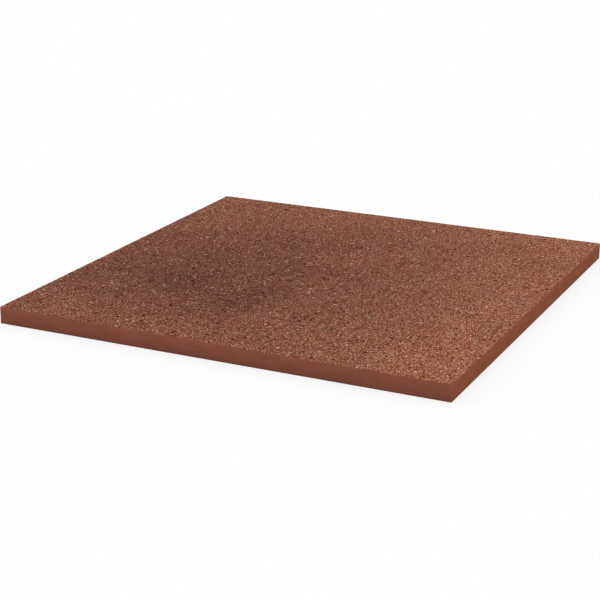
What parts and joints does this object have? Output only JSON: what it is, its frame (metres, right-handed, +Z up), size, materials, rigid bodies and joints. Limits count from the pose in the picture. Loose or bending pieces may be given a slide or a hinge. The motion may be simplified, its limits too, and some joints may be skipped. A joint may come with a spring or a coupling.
{
  "type": "clinker tile",
  "caption": "Square unglazed clinker floor tile: grainy red-brown wear face, plain fired sides and a grooved back that keys into the adhesive bed.",
  "frame": {"origin": "middle of the back, in the plane of the border and keying ribs that the tile lies on", "axes": "+Z up out of the wear face, X along the length and Y along the width, which are equal; the keying grooves run along Y"},
  "size_m": [0.3, 0.3, 0.011],
  "materials": {
    "fired_clinker": "matte"
  },
  "bodies": {
    "root": {"tile": "fired_clinker"}
  },
  "joints": []
}
